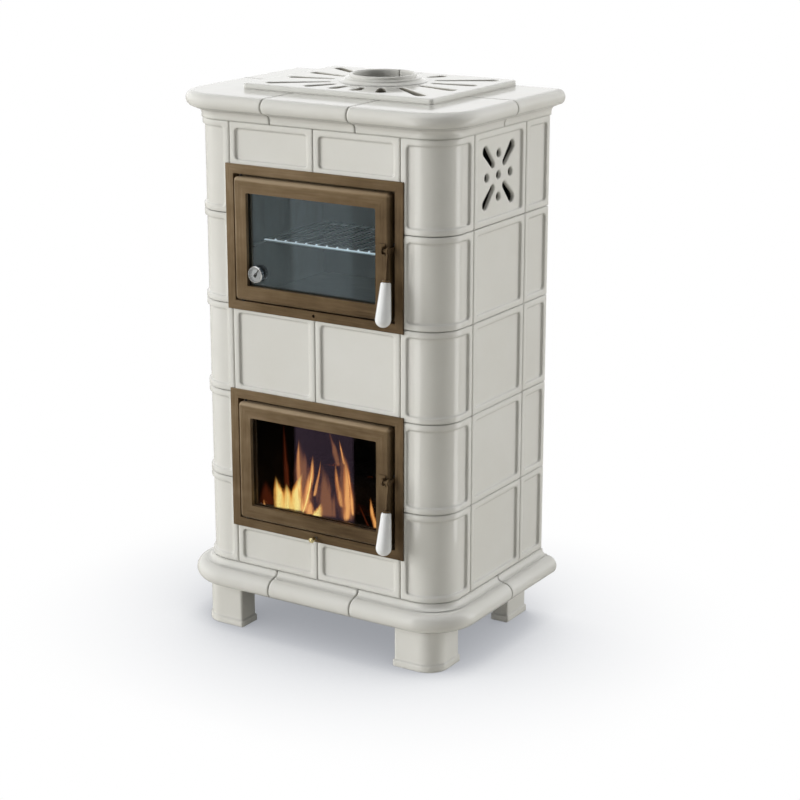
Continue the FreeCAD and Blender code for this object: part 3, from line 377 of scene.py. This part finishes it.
# Each flame: its finish and depth, its foot and tip as x and height, half its width and how far it bows to
# the side, in millimetres, and last how wide its foot is beside its widest place.
ember_top = 277
flames = (
    (glow, -100, (-143, 316), (-151, 484), 9, 0, 0.95),
    (glow, -102, (-138, 320), (-149, 458), 3, -1, 0.90),
    (glow, -126, (-179, ember_top), (-185, 340), 29, 0, 1.0),
    (veil, -128, (-15, ember_top), (-28, 408), 40, 0, 1.0),
    (veil, -127, (36, ember_top), (17, 468), 26, 5, 0.70),
    (veil, -118, (-86, 293), (-97, 454), 26, 2, 0.90),
    (veil, -114, (7, 397), (-20, 483), 9, 0, 0.80),
    (warm, -116, (-99, 346), (-97, 450), 7, -2, 0.90),
    (warm, -118, (-71, 327), (-59, 418), 9, 2, 0.90),
    (warm, -120, (-56, 317), (-36, 412), 5, 2, 0.80),
    (warm, -118, (24, 405), (10, 466), 3.5, 0, 0.90),
    (warm, -129, (25, 308), (7, 416), 10, -2, 0.70),
    (warm, -129, (35, ember_top), (28, 444), 16, 8, 0.35),
    (warm, -130, (54, 294), (34, 426), 5.5, 4, 0.70),
    (warm, -124, (-78, ember_top), (-64, 383), 20, 0, 1.0),
    (bright, -126, (-121, ember_top), (-127, 341), 26, 0, 1.0),
    (bright, -128, (-96, ember_top), (-78, 376), 24, -9, 1.0),
    (bright, -130, (-138, ember_top), (-154, 356), 20, 0, 1.0),
    (bright, -132, (-79, ember_top), (-50, 405), 3.7, 5, 0.95),
    (warm, -130, (-64, ember_top), (-58, 315), 16, 0, 1.0),
    (bright, -132, (-41, ember_top), (-28, 314), 15, 0, 1.0),
    (warm, -130, (115, ember_top), (100, 351), 8.5, -3, 1.0),
    (glow, -126, (92, ember_top), (61, 336), 4, 0, 1.0),
    (warm, -128, (-187, ember_top), (-189, 293), 4.5, 0, 1.0))
flame_turn = math.radians(20)
for index, (finish, depth, *shape) in enumerate(flames):
    bpy.ops.mesh.primitive_grid_add(x_subdivisions=8, y_subdivisions=30, size=1, calc_uvs=True)
    flame = bpy.context.object
    flame.name = "flame_%02d" % (index + 1)
    for vertex in flame.data.vertices:
        x, z, half = flame_line(*shape, vertex.co.y + 0.5)
        out = 2 * vertex.co.x * half
        vertex.co = Vector((x + out * math.cos(flame_turn), depth + out * math.sin(flame_turn), z)) / 1000
    settle(flame, "stove", finish)


# Oven: walls of satin steel welded behind the shell front, and a bright plated wire rack on two runners.
# The walls have gone slightly blue-grey from heat. The rack's front bar glows a little, a painted highlight
# for the bright line that it shows behind the glass.
oven_steel, tree, shader = start_finish("oven_steel", 0.42, 0.55)
paint(tree, shader, grain(tree, 9, (1, 6, 1), detail=5), (0.3, (0.050, 0.064, 0.073)),
      (0.7, (0.090, 0.112, 0.127)))
polish(tree, shader, grain(tree, 30, (1, 8, 1)), 0.34, 0.52)
coat_nodes(oven_steel, "oven_walls")

bar_depth = 0.006
bar_middle = 0.0032
wire, tree, shader = start_finish("plated_wire", 0.22, 0.2)
paint(tree, shader, grain(tree, 120), (0.3, (0.92, 0.93, 0.93)), (0.7, (0.97, 0.98, 0.98)))
polish(tree, shader, grain(tree, 240), 0.12, 0.26)
place = axes(tree)
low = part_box("oven_rack")[0]
# Painted highlight: the upper half of the rack's front bar glows, standing in for a lit edge.
front = maths(tree, "LESS_THAN", place["Y"], low.y + bar_depth)
upper = maths(tree, "GREATER_THAN", place["Z"], low.z + bar_middle)
tree.links.new(greys(tree, maths(tree, "MULTIPLY", front, upper), 0.0, 1.0, 0.0, 1.0),
               shader.inputs["Emission Color"])
shader.inputs["Emission Strength"].default_value = 0.50
coat_nodes(wire, "oven_rack")


# Door frames let into the tiles, door leaves on hidden pins, and handle irons: steel with a satin bronze
# enamel, brushed along each bar, so the streaks run across on the rails and upright on the stiles. It has
# darker clouds where it was rubbed less. Each leaf's top and left edges carry a painted highlight, and
# painted light makes every piece lighter towards the left and towards the top.
window_half_wide = 0.164
window_half_tall = 0.1015
leaf_margin = 0.001
top_highlight_band = (0.011, 0.004)
left_highlight_band = (0.009, 0.003)


def bronze_finish(name, middle, leaf):
    finish, tree, shader = start_finish(name, 0.40, 0.35)
    place = axes(tree)
    height = maths(tree, "SUBTRACT", place["Z"], middle)
    out_x = maths(tree, "SUBTRACT", maths(tree, "ABSOLUTE", place["X"]), window_half_wide)
    out_z = maths(tree, "SUBTRACT", maths(tree, "ABSOLUTE", height), window_half_tall)
    streaks = tree.nodes.new("ShaderNodeMix")
    tree.links.new(maths(tree, "GREATER_THAN", out_x, out_z), streaks.inputs["Factor"])
    tree.links.new(grain(tree, 220, (0.06, 1, 1), detail=6), streaks.inputs["A"])
    tree.links.new(grain(tree, 220, (1, 1, 0.06), detail=6), streaks.inputs["B"])
    brushed = streaks.outputs["Result"]
    clouds = grain(tree, 11, (1, 1, 1.5))
    tone_with_painted_light = maths(tree, "MULTIPLY_ADD", brushed, 0.45, maths(tree, "MULTIPLY", clouds, 0.55))
    low, high = leaf
    centre = (low + high) / 2
    half = (high - low) / 2
    in_width = maths(tree, "COMPARE", place["X"], centre.x, half.x + leaf_margin)
    in_height = maths(tree, "COMPARE", place["Z"], centre.z, half.z + leaf_margin)
    on_leaf = maths(tree, "MULTIPLY", in_width, in_height)
    # Painted highlights: the leaf's top and left edges are made lighter, where light catches their rounding.
    top_painted_highlight = smooth(tree, place["Z"], *[high.z - part for part in top_highlight_band])
    left_painted_highlight = smooth(tree, place["X"], *[low.x + part for part in left_highlight_band])
    edges = maths(tree, "MULTIPLY_ADD", top_painted_highlight, 0.34, maths(tree, "MULTIPLY", left_painted_highlight, 0.14))
    tone_with_painted_light = maths(tree, "MULTIPLY_ADD", on_leaf, edges, tone_with_painted_light)
    # Painted light: each piece is made lighter towards the left and towards the top.
    tone_with_painted_light = maths(tree, "MULTIPLY_ADD", place["X"], -0.75, tone_with_painted_light)
    tone_with_painted_light = maths(tree, "MULTIPLY_ADD", height, 0.6, tone_with_painted_light)
    paint(tree, shader, tone_with_painted_light, (0.21, (0.070, 0.042, 0.018)), (0.46, (0.138, 0.091, 0.045)),
          (0.71, (0.215, 0.150, 0.084)), (0.96, (0.330, 0.250, 0.160)))
    polish(tree, shader, brushed, 0.33, 0.50)
    shader.inputs["Specular IOR Level"].default_value = 0.3
    relief(tree, shader, brushed, 0.0003, 0.5)
    return finish


for door, window_middle in (("fire", 0.404), ("oven", 0.904)):
    bronze = bronze_finish(door + "_bronze", window_middle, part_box(door + "_door"))
    coat_nodes(bronze, door + "_frame", door + "_door", door + "_bracket", door + "_lever")


# Door glass: clear glass-ceramic panes held by strips behind each leaf. They let most light through with a
# faint tint, and their clean surface mirrors the room.
def pane_finish(name, tint, bending):
    finish, tree, clear, mirror, shown = clear_finish(name, "ShaderNodeBsdfGlossy")
    tree.links.new(tones(tree, grain(tree, 6), (0.3, [0.97 * part for part in tint]), (0.7, tint)),
                   clear.inputs["Color"])
    mirror.inputs["Roughness"].default_value = 0.02
    mirror.inputs["Color"].default_value = (*tint, 1)
    facing = tree.nodes.new("ShaderNodeFresnel")
    facing.inputs["IOR"].default_value = bending
    tree.links.new(facing.outputs["Fac"], shown)
    return finish


coat_nodes(pane_finish("fire_pane", (0.86, 0.85, 0.84), 1.5), "fire_glass")
coat_nodes(pane_finish("oven_pane", (0.86, 0.94, 0.98), 1.5), "oven_glass")


# Door seals: braided glass-fibre rope pressed into a groove round the back of each leaf. Grey, woven in
# fine diagonal strands.
rope, tree, shader = start_finish("fibre_rope", 0.95)
braid = tree.nodes.new("ShaderNodeTexWave")
braid.bands_direction = "DIAGONAL"
braid.inputs["Scale"].default_value = 120
braid.inputs["Distortion"].default_value = 1.5
where = tree.nodes.new("ShaderNodeTexCoord")
tree.links.new(where.outputs["Object"], braid.inputs["Vector"])
paint(tree, shader, braid.outputs["Fac"], (0.1, (0.09, 0.088, 0.084)), (0.9, (0.28, 0.275, 0.265)))
relief(tree, shader, braid.outputs["Fac"], 0.0008, 0.8)
coat_nodes(rope, "fire_seal", "oven_seal")


# Handle grips: turned white porcelain, pushed on the tang of each lever. Cool white glaze with a soft gloss.
porcelain, tree, shader = start_finish("white_porcelain", 0.16)
paint(tree, shader, grain(tree, 30), (0.3, (0.78, 0.79, 0.79)), (0.7, (0.84, 0.85, 0.85)))
polish(tree, shader, grain(tree, 50), 0.12, 0.22)
relief(tree, shader, grain(tree, 60, detail=2), 0.0004, 0.3)
coat_nodes(porcelain, "fire_grip", "oven_grip")


# Thermometer in the oven glass: bright bezel in front, black case behind the pane, and a black needle on
# a spindle. The printed card and the domed cover glass are separate pieces set into the bezel.
low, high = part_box("thermometer_case")
dial_x = (low.x + high.x) / 2
dial_z = (low.z + high.z) / 2
pane_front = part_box("oven_glass")[0].y
bezel_back = pane_front + 0.002
bezel, tree, shader = start_finish("thermometer_metal", 0.2)
outside = maths(tree, "LESS_THAN", axes(tree)["Y"], bezel_back)
spin = grain(tree, 300, (1, 0.1, 1))
dark = tones(tree, spin, (0.3, (0.010, 0.010, 0.011)), (0.7, (0.022, 0.022, 0.023)))
plated = tones(tree, spin, (0.3, (0.62, 0.63, 0.64)), (0.7, (0.80, 0.81, 0.82)))
coatings = tree.nodes.new("ShaderNodeMix")
coatings.data_type = "RGBA"
tree.links.new(outside, coatings.inputs["Factor"])
tree.links.new(dark, coatings.inputs["A"])
tree.links.new(plated, coatings.inputs["B"])
tree.links.new(coatings.outputs["Result"], shader.inputs["Base Color"])
tree.links.new(outside, shader.inputs["Metallic"])
polish(tree, shader, spin, 0.14, 0.30)
coat_nodes(bezel, "thermometer_case")

needle, tree, shader = start_finish("needle_black", 0.4)
paint(tree, shader, grain(tree, 400), (0.3, (0.008, 0.008, 0.008)), (0.7, (0.022, 0.021, 0.021)))
coat_nodes(needle, "thermometer_needle")

card_radius = 0.0158
card_hole = 0.0013
card_thickness = 0.00012
card_y = pane_front - 0.0036
bpy.ops.mesh.primitive_circle_add(vertices=64, radius=card_hole, rotation=(math.radians(90), 0, 0))
card = bpy.context.object
card.name = "thermometer_card"
bpy.ops.object.mode_set(mode="EDIT")
bpy.ops.mesh.select_all(action="SELECT")
bpy.ops.mesh.extrude_edges_move()
bpy.ops.transform.resize(value=(card_radius / card_hole,) * 3)
bpy.ops.object.mode_set(mode="OBJECT")
card.location = (dial_x, card_y, dial_z)
bpy.ops.object.transform_apply(location=True, rotation=True, scale=True)
thick = card.modifiers.new("thick", "SOLIDIFY")
thick.thickness = card_thickness
thick.offset = 0
bpy.ops.object.modifier_apply(modifier="thick")

tick_gap = math.radians(9)
tick_half = math.radians(1.6)
scale_end = math.radians(138)
ring_inner = 0.0112
ring_outer = 0.0140
printed, tree, shader = start_finish("printed_card", 0.6)
place = axes(tree)
right = maths(tree, "SUBTRACT", place["X"], dial_x)
up = maths(tree, "SUBTRACT", place["Z"], dial_z)
turn = maths(tree, "ARCTAN2", right, up)
reach = maths(tree, "SQRT", maths(tree, "MULTIPLY_ADD", right, right, maths(tree, "MULTIPLY", up, up)))
tick = maths(tree, "LESS_THAN", maths(tree, "PINGPONG", turn, tick_gap), tick_half)
in_ring = maths(tree, "MULTIPLY", maths(tree, "GREATER_THAN", reach, ring_inner),
                maths(tree, "LESS_THAN", reach, ring_outer))
on_scale = maths(tree, "LESS_THAN", maths(tree, "ABSOLUTE", turn), scale_end)
ink = maths(tree, "MULTIPLY", maths(tree, "MULTIPLY", tick, in_ring), on_scale)
paper = tones(tree, grain(tree, 500), (0.3, (0.72, 0.73, 0.74)), (0.7, (0.80, 0.81, 0.82)))
inked = tree.nodes.new("ShaderNodeMix")
inked.data_type = "RGBA"
tree.links.new(ink, inked.inputs["Factor"])
tree.links.new(paper, inked.inputs["A"])
inked.inputs["B"].default_value = (0.03, 0.03, 0.035, 1)
tree.links.new(inked.outputs["Result"], shader.inputs["Base Color"])
settle(card, "oven_door", printed)

dome_steps = 4
dome_inset = 0.0032
dome_rise = 0.0003
cover_y = pane_front - 0.0064
bpy.ops.mesh.primitive_circle_add(vertices=64, radius=card_radius, fill_type="NGON",
                                  rotation=(math.radians(90), 0, 0))
cover = bpy.context.object
cover.name = "thermometer_cover"
bpy.ops.object.mode_set(mode="EDIT")
bpy.ops.mesh.select_all(action="SELECT")
for step in range(dome_steps):
    bpy.ops.mesh.inset(thickness=dome_inset)
    bpy.ops.transform.translate(value=(0, -dome_rise * (1 - step / dome_steps), 0))
bpy.ops.object.mode_set(mode="OBJECT")
cover.location = (dial_x, cover_y, dial_z)
bpy.ops.object.transform_apply(location=True, rotation=True, scale=True)
settle(cover, "oven_door", pane_finish("cover_glass", (0.97, 0.98, 0.98), 1.4))


# Air control: turned brass knob on the end of the steel rod that draws the shutter under the hearth.
# Polished brass, faintly marked by the lathe.
brass, tree, shader = start_finish("polished_brass", 0.2, 1.0)
paint(tree, shader, grain(tree, 250, (1, 4, 1)), (0.3, (0.72, 0.60, 0.30)), (0.7, (0.86, 0.76, 0.44)))
polish(tree, shader, grain(tree, 400, (1, 6, 1)), 0.14, 0.28)
coat_nodes(brass, "air_knob")


# Plain white floor that runs on behind the stove, with a soft bluish shadow close under it. It throws back
# less light than it shows, so that the undersides stay darker.
floor_size = 60
shadow_reach = 0.5
bpy.ops.mesh.primitive_plane_add(size=floor_size)
floor = bpy.context.object
floor.name = "studio_floor"
floor_finish, tree, shader = start_finish("studio_white", 0.8)
paint(tree, shader, grain(tree, 3), (0.3, (0.735, 0.715, 0.665)), (0.7, (0.745, 0.725, 0.675)))
shader.inputs["Specular IOR Level"].default_value = 0.0
hollow = tree.nodes.new("ShaderNodeAmbientOcclusion")
hollow.samples = 24
hollow.inputs["Distance"].default_value = shadow_reach
shown = tree.nodes.new("ShaderNodeEmission")
shadow = tones(tree, hollow.outputs["AO"], (0.0, (0.28, 0.29, 0.315)), (0.45, (0.50, 0.512, 0.54)),
               (0.75, (0.83, 0.837, 0.852)), (0.92, (0.95, 0.952, 0.959)), (1.0, (1, 1, 1)))
tree.links.new(shadow, shown.inputs["Color"])
mix = tree.nodes.new("ShaderNodeMixShader")
tree.links.new(tree.nodes.new("ShaderNodeLightPath").outputs["Is Camera Ray"], mix.inputs["Fac"])
tree.links.new(shader.outputs["BSDF"], mix.inputs[1])
tree.links.new(shown.outputs["Emission"], mix.inputs[2])
tree.links.new(mix.outputs["Shader"], tree.nodes["Material Output"].inputs["Surface"])
floor.data.materials.append(floor_finish)


# Studio light: a broad soft light from the left, one from behind on the right, a weak one overhead and an
# even surround. The corner that faces the viewer lies between the two, so it goes darker. Only the overhead
# light is mirrored.
def soft_light(name, turn, rise, spread, strength, mirrored):
    lamp = bpy.data.lights.new(name, "SUN")
    lamp.angle = math.radians(spread)
    lamp.energy = strength
    light = bpy.data.objects.new(name, lamp)
    light.rotation_euler = (math.radians(90 - rise), 0, math.radians(turn))
    light.visible_glossy = mirrored
    bpy.context.scene.collection.objects.link(light)


soft_light("light_left", -50, 12, 45, 3.30, False)
soft_light("light_right", 140, 12, 45, 2.72, False)
soft_light("light_top", 0, 80, 60, 0.62, True)
even_light = 0.13
backdrop_light = 0.88
viewer_side = (0.53, -0.80, 0.28)
surround = bpy.data.worlds.new("surround")
surround.use_nodes = True
tree = surround.node_tree
sky = tree.nodes["Background"]
sky.inputs["Color"].default_value = (1.0, 0.998, 0.988, 1)
# What the glaze mirrors: pale behind the stove and overhead, dim on the viewer's side of the room.
where = tree.nodes.new("ShaderNodeTexCoord")
towards = tree.nodes.new("ShaderNodeVectorMath")
towards.operation = "DOT_PRODUCT"
towards.inputs[1].default_value = viewer_side
tree.links.new(where.outputs["Generated"], towards.inputs[0])
room = tones(tree, maths(tree, "MULTIPLY_ADD", towards.outputs["Value"], 0.5, 0.5), (0.0, (1, 1, 1)),
             (0.5, (0.68, 0.68, 0.68)), (0.75, (0.40, 0.40, 0.40)), (1.0, (0.12, 0.12, 0.12)))
rays = tree.nodes.new("ShaderNodeLightPath")
seen = maths(tree, "MULTIPLY_ADD", rays.outputs["Is Camera Ray"], backdrop_light, even_light)
tree.links.new(maths(tree, "MULTIPLY_ADD", rays.outputs["Is Glossy Ray"], room, seen), sky.inputs["Strength"])
bpy.context.scene.world = surround
bpy.context.scene.view_settings.view_transform = "Standard"


# Panels that are only mirrored: an upright paler band in each pane, and a streak on each side of the corner.
# A dark backdrop behind the fire pane's band, only mirrored too, keeps the rest of that pane black.
for name, place, turn, wide, tall, colour, energy in (
        ("fire_mirrored", (-0.4225, -0.85, 0.14), 0, 0.18, 0.26, (1.0, 0.68, 1.04), 0.031),
        ("oven_mirrored", (-0.4225, -0.85, 0.735), 0, 0.18, 0.30, (1.0, 1.0, 1.0), 0.045),
        ("front_mirrored", (0.0, -0.94, 0.56), -24, 0.28, 1.10, (1.0, 1.0, 1.0), 1.4),
        ("side_mirrored", (0.93, 0.29, 0.56), 129, 0.28, 1.10, (1.0, 1.0, 1.0), 1.4)):
    lamp = bpy.data.lights.new(name, "AREA")
    lamp.shape = "RECTANGLE"
    lamp.size = wide
    lamp.size_y = tall
    lamp.color = colour
    lamp.energy = energy
    panel = bpy.data.objects.new(name, lamp)
    panel.location = place
    panel.rotation_euler = (math.radians(90), 0, math.radians(turn))
    panel.visible_camera = False
    panel.visible_diffuse = False
    bpy.context.scene.collection.objects.link(panel)

backdrop_wide = 0.45
backdrop_tall = 0.26
bpy.ops.mesh.primitive_plane_add(size=1)
backdrop = bpy.context.object
backdrop.name = "dark_backdrop"
backdrop.scale = (backdrop_wide, backdrop_tall, 1)
backdrop.rotation_euler = (math.radians(90), 0, 0)
backdrop.location = (-0.475, -0.87, 0.132)
bpy.ops.object.transform_apply(location=True, rotation=True, scale=True)
backdrop.visible_camera = False
backdrop.visible_diffuse = False
backdrop.visible_transmission = False
backdrop.visible_shadow = False
felt, tree, shader = start_finish("black_felt", 1.0)
paint(tree, shader, grain(tree, 300), (0.3, (0.004, 0.004, 0.004)), (0.7, (0.008, 0.008, 0.008)))
shader.inputs["Specular IOR Level"].default_value = 0.0
backdrop.data.materials.append(felt)


# Camera at the photograph's viewing angle: from the right, a little above the stove's top.
sensor_wide = 36
picture_wide = 800
focal_pixels = 2059.1
pitch = 16.259
yaw = 32.008
lens = bpy.data.cameras.new("viewer")
lens.sensor_width = sensor_wide
lens.lens = sensor_wide * focal_pixels / picture_wide
lens.clip_end = 100
viewer = bpy.data.objects.new("viewer", lens)
viewer.location = (2.4093, -3.7027, 1.8093)
viewer.rotation_euler = (math.radians(90 - pitch), 0, math.radians(yaw))
bpy.context.scene.collection.objects.link(viewer)
bpy.context.scene.camera = viewer
